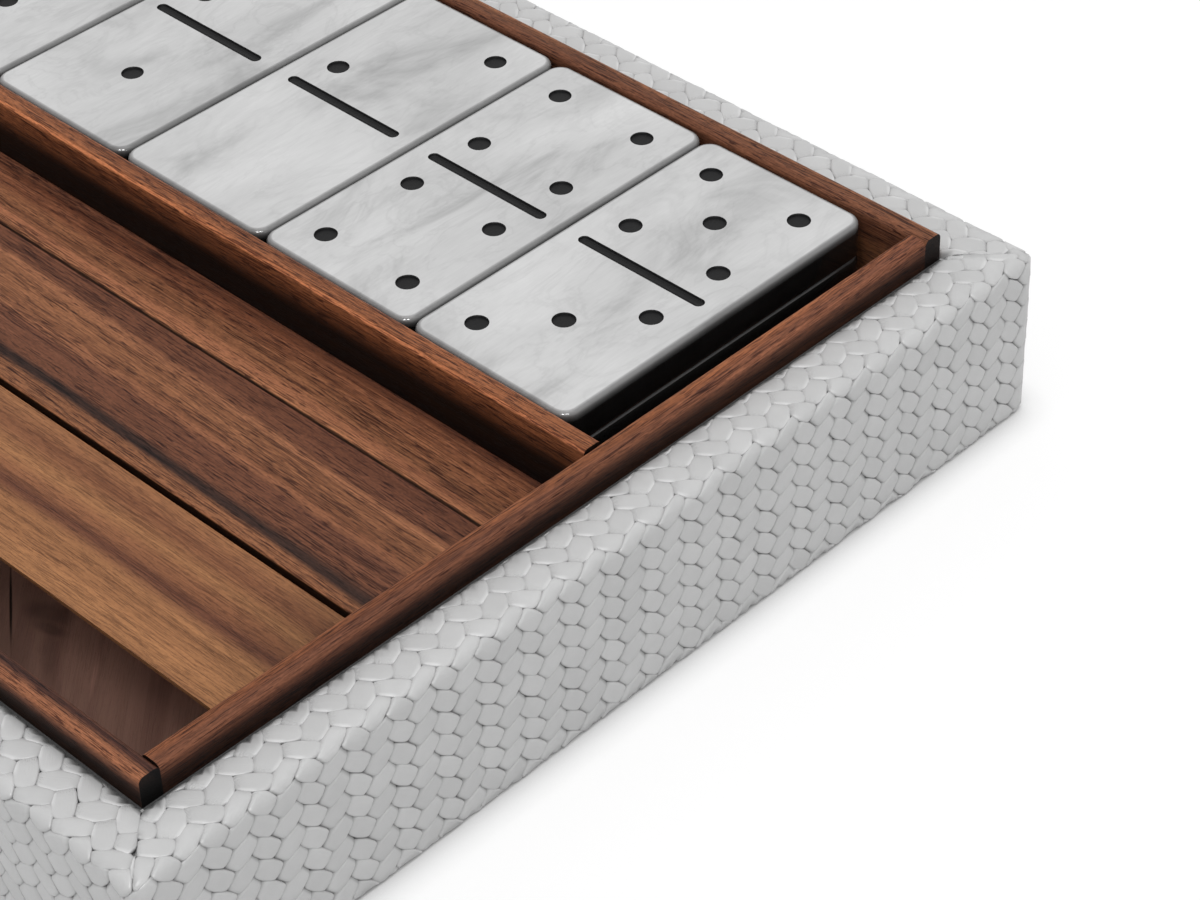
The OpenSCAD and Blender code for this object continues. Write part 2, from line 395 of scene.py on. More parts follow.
def through(points, p):
    """Places on the curve that runs through three points. It goes on straight past its ends."""
    first, middle, last = np.array(points)
    q = np.clip(p, 0, 1)[..., None]
    place = first * (1 - q) * (1 - 2 * q) + 4 * middle * q * (1 - q) + last * q * (2 * q - 1)
    slope = first * (4 * q - 3) + middle * (4 - 8 * q) + last * (4 * q - 1)
    return place + slope * (p[..., None] - q)


def rounded(distance, width, fall):
    """Drop of a rounded edge at a distance inside it."""
    x = np.clip(1 - distance / width, 0, 1)
    return fall * (1 - np.sqrt(1 - x ** 2))


def tucked(distance, width, depth):
    """Drop of an edge that dives under its neighbour, where distance is 0 at that edge."""
    x = 1 - distance / width
    return depth * np.where(x < 1, np.clip(x, 0, 1) ** 2, 2 * x - 1)


def float_form(kind):
    """Plan places and heights of one float's grid of points, and their shares of its size."""
    p, q = np.meshgrid(kind["along"], kind["across"], indexing="ij")
    lower, upper = through(kind["lower"], p), through(kind["upper"], p)
    plan = lower + (upper - lower) * q[..., None]
    near_end = np.clip(2 * p - 1, 0, 1) ** 2
    height = -tucked(p * FLOAT_L, TUCK_W, TUCK_DEPTH)
    if kind["open_end"]:
        outward = np.array([1, 1]) * math.sqrt(0.5) * END_BULGE
        plan += outward * (4 * q * (1 - q) * near_end)[..., None]
        height -= rounded(q * FLOAT_W, SIDE_ROUND, SIDE_FALL)
        height -= rounded((1 - p) * FLOAT_L, END_ROUND, END_FALL)
        height -= rounded((1 - q) * FLOAT_W, SIDE_ROUND, SIDE_FALL)
        height[-1, :] -= SKIRT
        height[:, -1] -= SKIRT
    else:
        # Full over the first fifth of the float, and gone a little past its middle.
        gully = np.clip(1.6 - 3 * p, 0, 1)
        height -= rounded(q * FLOAT_W, SIDE_ROUND, RISING_FALL)
        height -= tucked((1 - q) * FLOAT_W, SIDE_TUCK_W + GULLY_W * gully,
                         SIDE_TUCK_DEPTH + GULLY_DEPTH * gully)
        height -= tucked((1 - p) * FLOAT_L, TUCK_W, TUCK_DEPTH)
    height[:, 0] -= SKIRT
    return plan, height, p, q


def grid_faces(rows, columns):
    """Faces of one closed float: the grid on top, strips below and two end caps."""
    grid = np.arange(rows * columns).reshape(rows, columns)
    tops = [(grid[i, j], grid[i, j + 1], grid[i + 1, j + 1], grid[i + 1, j])
            for i in range(rows - 1) for j in range(columns - 1)]
    bottoms = [(grid[i, 0], grid[i + 1, 0], grid[i + 1, -1], grid[i, -1])
               for i in range(rows - 1)]
    ends = [tuple(grid[0, ::-1]), tuple(grid[-1])]
    return tops + bottoms, ends


def weave(shift):
    """Centres of the floats of one kind. shift is 0 for the falling ones, 0.5 for the rising."""
    tilt = math.atan2(DROP_ROWS / 2, PERIODS)
    period = perimeter / (PERIODS * math.cos(tilt) + DROP_ROWS / 2 * math.sin(tilt))
    along = period * np.array([math.cos(tilt), math.sin(tilt)])
    down = period / 2 * np.array([-math.sin(tilt), math.cos(tilt)])
    start = np.array([WEAVE_AT[0], edge_end + LIP_Z - EDGE_R - WEAVE_AT[1]])
    centres = []
    for column in range(PERIODS):
        top = start + (column + shift) * along + shift * down
        first = math.floor((-2 - top[1]) / down[1])
        last = math.ceil((hem_end + 2 - top[1]) / down[1])
        centres += [top + row * down for row in range(first, last + 1)]
    return np.array(centres), tilt


# The braid starts at BORDER beside the walnut and rolls down at both of its borders. It sinks
# a little at the mitres.
BORDER = 0.1
ROLL, ROLL_W = 1.0, 1.3
SINK, SINK_W = 0.1, 0.5
CENTRE_JITTER, TURN_JITTER, HEIGHT_JITTER = 0.04, math.radians(0.8), 0.03
# A float is kept if it reaches this far down the case and this share of it is clear of the
# mitre. A face is kept if its diagonals span more than LEAST_SPAN.
LEAST_DEPTH, LEAST_SHARE = 0.8, 0.01
LEAST_SPAN = 1e-4
ABOVE_FLOOR = 0.03


def make_floats(kind, shift):
    """Points, faces and strap numbers of every float of one kind, wrapped over the case."""
    plan, height, along, across = float_form(kind)
    centres, tilt = weave(shift)
    count = len(centres)
    centres = centres + random.normal(0, CENTRE_JITTER, (count, 2))
    turns = tilt + random.normal(0, TURN_JITTER, count)
    cos, sin = np.cos(turns)[:, None, None], np.sin(turns)[:, None, None]
    s = centres[:, 0, None, None] + plan[..., 0] * cos - plan[..., 1] * sin
    t = centres[:, 1, None, None] + plan[..., 0] * sin + plan[..., 1] * cos
    x = np.clip((t - SHEAR_FROM) / (SHEAR_TO - SHEAR_FROM), 0, 1)
    on_lip = 1 - x * x * (3 - 2 * x)
    s = s + LIP_SHEAR * on_lip
    near_foot = np.clip(1 - np.abs(t - foot_start) / FOOT_FLAT, 0, 1)
    h = height * (1 - (1 - LIP_RELIEF) * on_lip) * (1 - (1 - FOOT_RELIEF) * near_foot)
    for distance in (t - BORDER, hem_end - t):
        h = h - ROLL * np.clip(1 - distance / ROLL_W, 0, 1) ** 2
    t = np.clip(t, BORDER, hem_end)
    inset = profile(t)[0]
    clear = around(s, inset)[2]
    mitred = np.clip(inset / CORNER_R, 0, 1)
    h = h - SINK * mitred * np.clip(1 - clear / SINK_W, 0, 1) ** 2
    depths = -h
    h = h + random.normal(0, HEIGHT_JITTER, count)[:, None, None]
    points = on_leather(s, t, h)
    points[..., 2] = np.maximum(points[..., 2], ABOVE_FLOOR)
    kept = (np.ptp(t, axis=(1, 2)) > LEAST_DEPTH) & ((clear > 0).mean(axis=(1, 2)) > LEAST_SHARE)
    points = points[kept].reshape(-1, 3)
    size = along.size
    quads, ends = grid_faces(*along.shape)
    starts = np.arange(kept.sum())[:, None, None] * size
    quads = (np.array(quads)[None] + starts).reshape(-1, 4)
    corners = points[quads]
    spans = np.cross(corners[:, 2] - corners[:, 0], corners[:, 3] - corners[:, 1])
    quads = quads[np.linalg.norm(spans, axis=1) > LEAST_SPAN]
    faces = quads.tolist()
    for end in ends:
        faces += (np.array(end)[None] + starts[:, 0]).tolist()
    shade = np.repeat(random.random(kept.sum()), size)
    numbers = np.stack([np.tile(along.ravel() * FLOAT_L, kept.sum()),
                        np.tile(across.ravel() * FLOAT_W, kept.sum()), shade,
                        depths[kept].ravel(), on_lip[kept].ravel()], -1)
    return points, faces, numbers


def make_braid():
    """The braid as one piece, each float a closed pillow."""
    points, faces, numbers = [], [], []
    for kind, shift in ((FALLING, 0), (RISING, 0.5)):
        some_points, some_faces, some_numbers = make_floats(kind, shift)
        first = sum(len(part) for part in points)
        points.append(some_points)
        faces += [[i + first for i in face] for face in some_faces]
        numbers.append(some_numbers)
    braid = make_piece("leather_braid", np.concatenate(points), faces, "box",
                       ["leather_cover"])
    numbers = np.concatenate(numbers).astype(np.float32)
    strap = braid.data.attributes.new("strap", "FLOAT_VECTOR", "POINT")
    strap.data.foreach_set("vector", numbers[:, :3].ravel())
    for column, name in ((3, "depth"), (4, "on_lip")):
        share = braid.data.attributes.new(name, "FLOAT", "POINT")
        share.data.foreach_set("value", numbers[:, column])
    return braid


# The painted sheen's tone on the strap edges of the lip.
SHEEN_TONE = (0.12, 0.12, 0.12, 1)
# Each strap's own tone, times this, moves it to its own part of the noise.
STRAP_SPREAD = 40.0


def leather_material():
    """Matt leather: painted shade in the creases, a painted sheen on lip edges, puckers on the
    lip.
    """
    material, tree = make_material("braided_leather")
    place = tree.place_mm()
    strap = tree.add("Attribute", attribute_name="strap").outputs["Vector"]
    parts = tree.add("SeparateXYZ", {0: strap}).outputs
    tone = tree.ramp(parts[2], [(0, srgb(197, 197, 197)), (1, srgb(205, 205, 205))])
    grain = tree.noise(place, 5.0, 4.0, 0.6)
    mottle = tree.ramp(tree.noise(place, 0.35, 3.0), [(0.3, 0.95), (0.7, 1.0)])
    depth = tree.add("Attribute", attribute_name="depth").outputs["Fac"]
    # Painted shade: the deeper a point lies below its float's top, the darker.
    crease_shade = tree.ramp(depth, [(0.0, 1.0), (0.08, 0.95), (0.2, 0.74), (0.38, 0.45), (0.9, 0.2)])
    colour = tree.blend("MULTIPLY", 1.0, tree.blend("MULTIPLY", 1.0, tone, mottle), crease_shade)
    on_lip = tree.add("Attribute", attribute_name="on_lip").outputs["Fac"]
    # Painted sheen along the lower edge of each strap's first half, on the lip only.
    along_edge = tree.ramp(tree.math("DIVIDE", parts[0], FLOAT_L),
                           [(0.06, 0.0), (0.14, 1.0), (0.5, 1.0), (0.66, 0.0)])
    sheen_mask = tree.ramp(tree.math("DIVIDE", parts[1], FLOAT_W),
                     [(0.02, 0.0), (0.06, 1.0), (0.13, 0.5), (0.2, 0.0)])
    sheen_mask = tree.math("MULTIPLY", tree.math("MULTIPLY", sheen_mask, along_edge), on_lip)
    sheen_colour = tree.blend("MULTIPLY", 1.0, sheen_mask, SHEEN_TONE)
    colour = tree.blend("ADD", 1.0, colour, sheen_colour)
    roughness = tree.ramp(grain, [(0.3, 0.36), (0.7, 0.5)])
    pulled = tree.noise(tree.scaled(strap, (0.6, 5.0, STRAP_SPREAD)), 1.0, 3.0)
    puckers = tree.noise(tree.scaled(strap, (3.0, 6.0, STRAP_SPREAD)), 1.0, 2.0)
    tucked_in = tree.ramp(tree.math("DIVIDE", parts[0], FLOAT_L), [(0.1, 1.0), (0.3, 0.0)])
    puckers = tree.math("MULTIPLY", puckers, tree.math("MULTIPLY", tucked_in, on_lip))
    height = tree.math("ADD", tree.math("MULTIPLY", grain, 0.5), pulled)
    height = tree.math("ADD", height, tree.math("MULTIPLY", puckers, 6.0))
    tree.surface({"Base Color": colour, "Roughness": roughness,
                  "Normal": tree.bump(height, 0.05, 0.5)})
    return material


# How far the backing's two faces lie below the leather's surface, and the steps of its arcs.
BACKING_OUTER, BACKING_INNER = 0.75, 1.4
EDGE_ARC_STEPS, FOOT_ARC_STEPS, PLAN_ARC_STEPS = 5, 4, 6


def make_backing():
    """The leather under the straps: one closed ring that the braid lies on."""
    t = np.concatenate([[0, edge_start],
                        np.linspace(edge_start, edge_end, EDGE_ARC_STEPS + 1)[1:], [foot_start],
                        np.linspace(foot_start, foot_end, FOOT_ARC_STEPS + 1)[1:], [hem_end]])
    inset, z, outward, upward = profile(t)
    outer, inner = (np.stack([inset + outward * depth, z - upward * depth], -1)
                    for depth in (BACKING_OUTER, BACKING_INNER))
    builder = Builder()
    starts = []
    for cut, level in np.concatenate([outer, inner[::-1]]):
        plan = rounded_rect(CASE_A - cut, CASE_B - cut, max(CORNER_R - cut, 0), PLAN_ARC_STEPS)
        starts.append(builder.ring(plan, level))
    for first, second in zip(starts, starts[1:] + starts[:1]):
        builder.add(ring_faces(second, first, len(plan)))
    return make_piece("leather_backing", builder.points, builder.faces, "box")


def backing_material():
    """Painted shade: dark where it shows between the straps. Painted light: pale in the lip's
    mitres.
    """
    material, tree = make_material("leather_backing")
    fuzz = tree.noise(tree.place_mm(), 4.0, 4.0)
    colour = tree.ramp(fuzz, [(0.3, srgb(60, 60, 60)), (0.7, srgb(84, 84, 84))])
    x, y, z = tree.add("SeparateXYZ", {0: tree.place_mm()}).outputs
    past_x = tree.math("SUBTRACT", tree.math("ABSOLUTE", x), CASE_A - LIP_W)
    past_y = tree.math("SUBTRACT", tree.math("ABSOLUTE", y), CASE_B - LIP_W)
    # Painted light over the dark gaps that the lip's mitres leave.
    at_mitre = tree.math("MULTIPLY",
                         tree.math("GREATER_THAN", tree.math("MINIMUM", past_x, past_y), 0.0),
                         tree.math("GREATER_THAN", z, LIP_Z - 2 * EDGE_R))
    colour = tree.blend("MIX", at_mitre, colour, (*srgb(176, 176, 176), 1))
    tree.surface({"Base Color": colour, "Roughness": 0.8,
                  "Normal": tree.bump(fuzz, 0.1, 0.5)})
    return material


# ---- Walnut ---------------------------------------------------------------------------

# How far the grain wanders and ripples sideways, how strongly the pores crowd together, and
# how much finer the figure is across the board than through it.
WANDER, RIPPLE = 7.0, 0.4
CROWDING = 0.32
THROUGH = 1.4
# End grain: darker wood, deepened to near black by painted shade.
END_GRAIN = (0.05, 0.07, 0.11)


def walnut(name, bands, span, turn=0.0, seed=(0, 0, 0), ring_gap=1.1, shade=None, spots=(),
           fine=1.0, bold=1.0, arris_highlight=1.0):
    """Oiled walnut with its grain along X, turned by turn degrees.

    bands are colours across the grain, from one end of span to the other, in millimetres.
    fine and bold are the shares of the fine and of the broad grain. shade lists heights and
    their tones, for faces that lie close to others. A spot is a soft oval: its centre, half
    length, half width, turn in degrees and tone. arris_highlight is the painted highlight's tone
    on the eased edges.
    """
    material, tree = make_material(name)
    place = tree.place_mm()
    angle = math.radians(turn)
    turned = tree.add("Mapping", {"Vector": place, "Rotation": (0, 0, angle)},
                      vector_type="TEXTURE").outputs[0]
    grain, side, z = tree.add("SeparateXYZ", {0: turned}).outputs
    u = tree.math("ADD", grain, seed[0])
    v = tree.math("ADD", tree.math("ADD", side, z), seed[1])
    w = tree.math("ADD", tree.math("SUBTRACT", z, side), seed[2])

    def figure(across, along_mm, across_mm, detail=2.0, roughness=0.5, shift=0.0):
        """Noise drawn out along the grain."""
        vector = tree.join(tree.math("DIVIDE", u, along_mm),
                           tree.math("ADD", tree.math("DIVIDE", across, across_mm), shift),
                           tree.math("DIVIDE", w, across_mm * THROUGH))
        return tree.noise(vector, 1.0, detail, roughness)

    wander = tree.math("MULTIPLY", tree.math("SUBTRACT", figure(v, 150, 18), 0.5), WANDER)
    ripple = tree.math("MULTIPLY", tree.math("SUBTRACT", figure(v, 30, 6), 0.5), RIPPLE)
    bent = tree.math("ADD", v, tree.math("ADD", wander, ripple))
    share = tree.math("DIVIDE", tree.math("SUBTRACT", bent, span[0] + seed[1]),
                      span[1] - span[0])
    colour = tree.ramp(share, bands, "EASE")
    rings = tree.ramp(figure(bent, 190, ring_gap, 2.0, 0.6),
                      [(0.30, (0.64, 0.6, 0.6)), (0.5, 0.98), (0.70, 1.14)])
    broad = tree.ramp(figure(bent, 130, 4.5, 1.0, 0.5, 21.0),
                      [(0.34, (0.70, 0.65, 0.66)), (0.5, 1.0), (0.66, (1.16, 1.18, 1.16))])
    streaks = tree.ramp(figure(bent, 60, 0.55, 2.0, 0.6, 7.0), [(0.3, 0.84), (0.7, 1.1)])
    fibres = tree.ramp(figure(bent, 5.0, 0.16, 2.0, 0.6, 3.0), [(0.34, 0.9), (0.66, 1.09)])
    sand = tree.ramp(figure(bent, 0.55, 0.22, 1.0, 0.6, 51.0), [(0.3, 0.8), (0.7, 1.2)])
    crowd = tree.math("MULTIPLY", CROWDING,
                      tree.math("SUBTRACT", figure(bent, 70, 2.4, 1.0, 0.5, 61.0), 0.5))
    pores = tree.ramp(tree.math("ADD", figure(bent, 2.4, 0.13, 0.0, 0.4, 11.0), crowd),
                      [(0.59, 1.0), (0.635, (0.32, 0.28, 0.31))])
    veins = tree.ramp(tree.math("ADD", figure(bent, 9.0, 0.17, 0.0, 0.4, 31.0), crowd),
                      [(0.62, 1.0), (0.67, (0.42, 0.38, 0.40))])
    shares = [(rings, bold), (broad, bold), (streaks, fine), (fibres, fine), (sand, fine),
              (pores, fine), (veins, fine)]
    parts = [tree.blend("MIX", share, (1, 1, 1, 1), part) for part, share in shares]
    for x, y, half_l, half_w, spot_turn, tone in spots:
        oval = tree.add("Mapping", {"Vector": place, "Location": (x, y, 0),
                                    "Rotation": (0, 0, math.radians(spot_turn)),
                                    "Scale": (half_l, half_w, 1000)}, vector_type="TEXTURE")
        reach = tree.add("VectorMath", {0: oval.outputs[0]}, operation="LENGTH").outputs[1]
        parts.append(tree.ramp(reach, [(0.3, tone), (1.0, 1.0)], "EASE"))
    if shade:
        bottom, top = shade[0][0], shade[-1][0]
        rise = tree.add("MapRange", {0: z, 1: bottom, 2: top}).outputs[0]
        parts.append(tree.ramp(rise, [((level - bottom) / (top - bottom), tone)
                                      for level, tone in shade], "EASE"))
    # Eased edges get a painted highlight. End grain is darker wood, painted near black as shade.
    normal = tree.add("TexCoord").outputs["Normal"]
    upright = tree.add("SeparateXYZ", {0: normal}).outputs[2]
    parts.append(tree.ramp(upright, [(0.25, 1.0), (0.5, arris_highlight), (0.75, arris_highlight), (0.92, 1.0)]))
    facing = tree.add("VectorMath", {0: normal, 1: (math.cos(angle), math.sin(angle), 0)},
                      operation="DOT_PRODUCT").outputs[1]
    end_grain = tree.math("ABSOLUTE", facing)
    parts.append(tree.ramp(end_grain, [(0.6, 1.0), (0.9, END_GRAIN)]))
    for part in parts:
        colour = tree.blend("MULTIPLY", 1.0, colour, part)
    roughness = tree.ramp(fibres, [(0.8, 0.55), (1.0, 0.45)])
    height = tree.math("ADD", tree.math("MULTIPLY", pores, 1.5), fibres)
    tree.surface({"Base Color": colour, "Roughness": roughness,
                  "Specular IOR Level": 0.12, "Normal": tree.bump(height, 0.05, 0.6)})
    return material


def dress(node, material):
    """Gives a CAD node that keeps its own shape a better material."""
    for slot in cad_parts[node].material_slots:
        slot.material = material


DARK, BROWN, WARM, GOLD = (srgb(*c) for c in ((74, 45, 37), (118, 74, 54), (146, 96, 66),
                                             (168, 117, 78)))
# The floor panel's walnut, paler and greyer than the boards: painted light in its deep recess.
GREY_BROWN = srgb(140, 106, 93)
FOXY = srgb(154, 99, 70)
INKY = srgb(60, 40, 33)
DUSKY = srgb(114, 71, 51)
PALE = srgb(157, 104, 73)
RUDDY = srgb(145, 89, 58)

# Heights and tones. A rail darkens down to the leather, the divider down to the racks, and a
# rack in its seams.
RAIL_SHADE = ((12, 0.4), (26.5, 0.16), (29.1, 1.0))
RAIL_FRONT_SHADE = ((12, 0.4), (26.7, 0.1), (29.2, 1.0))
DIVIDER_SHADE = ((17, 0.4), (21, 0.03), (23.5, 0.03), (29.0, 1.0))
RACK_SHADE = ((17.8, 0.8), (18.8, 0.1), (19.75, 0.1), (20.1, 1.0))

# The floor panel's crack, the two parts of its knot, its pale and its dark streak, then painted
# light in a paler band along the rack, and painted shade along the rail and in a darker left
# part.
FLOOR_SPOTS = [(53.3, -45.4, 11.0, 0.25, -38, 0.06),
               (58.0, -43.2, 4.6, 2.6, 20, 0.6),
               (60.5, -44.9, 3.4, 1.3, 15, 0.62),
               (71, -46.5, 5.5, 0.4, -47, 1.35),
               (63.5, -47.5, 7.0, 1.6, -40, 0.75),
               (85, -41, 110.0, 11.0, 0, 1.7),
               (60, -64.5, 110.0, 11.0, 0, 0.7),
               (44, -56, 30.0, 20.0, 0, 0.45)]

BOARDS = {
    "rail_back": dict(bands=[(0, WARM), (0.5, BROWN), (1, WARM)], span=(88, 97),
                      seed=(11, 0, 3)),
    "rail_front": dict(bands=[(0, BROWN), (0.5, FOXY), (0.68, DARK), (0.85, BROWN), (1, WARM)],
                       span=(-42, -34), seed=(310, 0, 9), shade=RAIL_FRONT_SHADE),
    "rail_right": dict(bands=[(0, BROWN), (0.4, BROWN), (0.7, RUDDY)], span=(-81, -75), turn=90,
                       seed=(70, 0, 40), shade=RAIL_SHADE,
                       spots=[(106.7, 47, 9.0, 38.0, 0, 1.35)]),
    "rail_left": dict(bands=[(0, WARM), (0.5, BROWN), (1, WARM)], span=(128, 140), turn=90,
                      seed=(170, 0, 60), shade=RAIL_SHADE),
    "divider": dict(bands=[(0, BROWN), (0.5, RUDDY), (1, RUDDY)], span=(25, 37),
                    seed=(500, 0, 80), shade=DIVIDER_SHADE, arris_highlight=2.0),
    "floor_panel": dict(bands=[(0, GREY_BROWN), (1, GREY_BROWN)], span=(20, 60), turn=-46,
                        seed=(900, 0, 15), fine=0.14, bold=0.5, ring_gap=3.5,
                        spots=FLOOR_SPOTS),
    "rack_back": dict(bands=[(0, WARM), (0.15, FOXY), (0.3, WARM), (0.75, FOXY), (1, BROWN)],
                      span=(14, 25), seed=(40, 0, 110), shade=RACK_SHADE, arris_highlight=1.5),
    "rack_middle": dict(bands=[(0.03, WARM), (0.1, WARM), (0.155, INKY), (0.18, INKY),
                               (0.25, DUSKY), (0.42, BROWN), (0.47, PALE), (0.53, WARM),
                               (0.74, WARM), (0.78, PALE), (0.84, DUSKY), (0.93, DUSKY),
                               (1, BROWN)],
                        span=(-8, 14), seed=(640, 0, 150), shade=RACK_SHADE, bold=0.6,
                        arris_highlight=1.3),
    "rack_front": dict(bands=[(0, GOLD), (0.4, GOLD), (0.52, BROWN), (0.6, WARM), (0.7, GOLD),
                              (0.82, WARM), (1, GOLD)],
                       span=(-30, -8), seed=(220, 0, 190), fine=0.5, bold=0.55, arris_highlight=1.6,
                       spots=[(104, -28, 22.0, 26.0, 0, 0.72)]),
}


def dress_boards():
    for node, look in BOARDS.items():
        dress(node, walnut("walnut_" + node, **look))


# ---- Hidden wood and felt -------------------------------------------------------------

def plain_wood():
    """Raw pale wood, with its grain along X."""
    material, tree = make_material("core_wood")
    place = tree.scaled(tree.place_mm(), (0.02, 0.5, 0.5))
    tone = tree.ramp(tree.noise(place, 1.0, 4.0, 0.6), [(0.3, srgb(176, 146, 104)),
                                                       (0.7, srgb(206, 178, 134))])
    tree.surface({"Base Color": tone, "Roughness": 0.7})
    return material


# The section of the sole's soft edge: insets, and heights above its lower face or below its
# upper one.
PAD_CORNER_R = 3.0
PAD_EDGE = ((1.2, 0), (0.5, 0), (0.12, 0.25))


def make_pad():
    """The felt sole: a flat slab with soft edges."""
    low, high = box_mm("felt_pad")
    levels = [(inset, low[2] + rise) for inset, rise in PAD_EDGE]
    levels.append((0, (low[2] + high[2]) / 2))
    levels += [(inset, high[2] - fall) for inset, fall in reversed(PAD_EDGE)]
    builder = Builder()
    starts = [builder.ring(rounded_rect(high[0] - inset, high[1] - inset, PAD_CORNER_R), z)
              for inset, z in levels]
    for first, second in zip(starts, starts[1:]):
        builder.add(ring_faces(first, second, OUTLINE_SIZE))
    builder.add([tuple(range(OUTLINE_SIZE - 1, -1, -1)),
                 tuple(range(starts[-1], starts[-1] + OUTLINE_SIZE))])
    return make_piece("felt_sole", builder.points, builder.faces, "box", ["felt_pad"])


def felt_material():
    material, tree = make_material("felt")
    place = tree.place_mm()
    fuzz = tree.noise(place, 3.0, 6.0, 0.7)
    tone = tree.ramp(fuzz, [(0.3, srgb(70, 70, 71)), (0.7, srgb(96, 96, 97))])
    tree.surface({"Base Color": tone, "Roughness": 0.95, "Sheen Weight": 0.4,
                  "Normal": tree.bump(fuzz, 0.25, 0.8)})
    return material


# ---- Tiles ----------------------------------------------------------------------------

TILE_CORNER_R = 2.5
TILE_EDGE_R = 0.8
TILE_BACK_T = 4.1
PIP_R = 1.6
PIP_OFFSET = 7.756
HALF_CENTRE = 14.0
BAR_L, BAR_W = 21.8, 1.7
EDGE_STEPS = 5
SUPPORT = 0.08
# A mark's eased edge and wall, and the ridges that the cutter leaves on the bar's floor.
MARK_DEPTH = 0.3
MARK_STEPS = 12
MARK_EASE, MARK_WALL = 0.05, 0.09
RIDGE_START, RIDGE_STEP, RIDGE_H, RIDGE_RINGS = 0.10, 0.15, 0.06, 4
SHARP_FROM = math.radians(40)
CUT_ACCURACY = 1e-6
# How far apart the tiles lie in the marble's noise, the depth over which the face's side
# darkens, partly the pale layer over the black and partly painted shade, and how much faster
# that goes on a tile with another on top, as painted shade.
CLOUD_SPREAD = 500
FADE_DEPTH = 1.5
BURIED_SHADE = 5.0


def pip_places(number, turn):
    """Centres of the pips of one half, which lies towards +Y if turn is 1."""
    diagonal, other, sides = [(1, 1), (-1, -1)], [(1, -1), (-1, 1)], [(1, 0), (-1, 0)]
    layouts = [[], [(0, 0)], diagonal, diagonal + [(0, 0)], diagonal + other,
               diagonal + other + [(0, 0)], diagonal + other + sides]
    return [(PIP_OFFSET * x, turn * HALF_CENTRE + PIP_OFFSET * y) for x, y in layouts[number]]


def mark_outline(centre, half_l, radius, inset=0.0):
    """Anticlockwise outline of a pip, or of the bar if half_l isn't 0."""
    points = []
    steps = MARK_STEPS + 1 if half_l else MARK_STEPS
    for side in (1, -1):
        for step in range(steps):
            angle = math.pi * step / MARK_STEPS - side * math.pi / 2
            points.append((centre[0] + side * half_l + (radius - inset) * math.cos(angle),
                           centre[1] + (radius - inset) * math.sin(angle)))
    return points


BACK, FACE, MARK = range(3)


def tile_shell(builder, half_x, half_y, thick):
    """The black back and the pale face up to the flat top. Returns the top's outline."""
    arc = [math.pi / 2 * i / EDGE_STEPS for i in range(EDGE_STEPS + 1)]
    lower = [(TILE_EDGE_R + SUPPORT, 0.0)]
    lower += [(TILE_EDGE_R * (1 - math.sin(a)), TILE_EDGE_R * (1 - math.cos(a))) for a in arc]
    upper = [(TILE_EDGE_R * (1 - math.cos(a)), thick - TILE_EDGE_R * (1 - math.sin(a)))
             for a in arc]
    upper += [(TILE_EDGE_R + SUPPORT, thick)]
    levels = lower + [(0.0, TILE_BACK_T)] + upper
    starts = []
    for inset, z in levels:
        outline = rounded_rect(half_x - inset, half_y - inset, TILE_CORNER_R - inset)
        starts.append(builder.ring(outline, z))
    builder.add([tuple(range(OUTLINE_SIZE - 1, -1, -1))], BACK)
    for (_, z), first, second in zip(levels[1:], starts, starts[1:]):
        builder.add(ring_faces(first, second, OUTLINE_SIZE), FACE if z > TILE_BACK_T else BACK)
    return outline


def tile_face(builder, outline, marks, thick):
    """The flat top, with a hole for each mark."""
    loops = [outline] + [mark_outline(*mark) for mark in marks]
    flat, edges = [], []
    for loop in loops:
        first, size = len(flat), len(loop)
        flat += [Vector(p) for p in loop]
        edges += [(first + i, first + (i + 1) % size) for i in range(size)]
    inside_only = 1
    points, _, triangles, *_ = delaunay_2d_cdt(flat, edges, [], inside_only, CUT_ACCURACY)

    def in_mark(point):
        return any(math.hypot(max(abs(point.x - c[0]) - half_l, 0), point.y - c[1]) < radius
                   for c, half_l, radius in marks)

    start = builder.ring([tuple(p) for p in points], thick)
    kept = [tuple(start + i for i in t) for t in triangles
            if not in_mark(sum((points[i] for i in t), Vector((0, 0))) / len(t))]
    builder.add(kept, FACE)


def tile_mark(builder, mark, thick):
    """The wall and floor of one sunk mark. The bar's floor keeps the cutter's lines."""
    half_l = mark[1]
    levels = [(0.0, 0.0), (MARK_EASE, MARK_EASE), (MARK_WALL, MARK_DEPTH)]
    if half_l:
        levels += [(RIDGE_START + RIDGE_STEP * i, MARK_DEPTH - (RIDGE_H if i % 2 else 0))
                   for i in range(1, RIDGE_RINGS + 1)]
    rings = [builder.ring(mark_outline(*mark, inset), thick - depth) for inset, depth in levels]
    size = len(mark_outline(*mark))
    for first, second in zip(rings, rings[1:]):
        builder.add(ring_faces(first, second, size), MARK)
    builder.add([tuple(range(rings[-1], rings[-1] + size))], MARK)


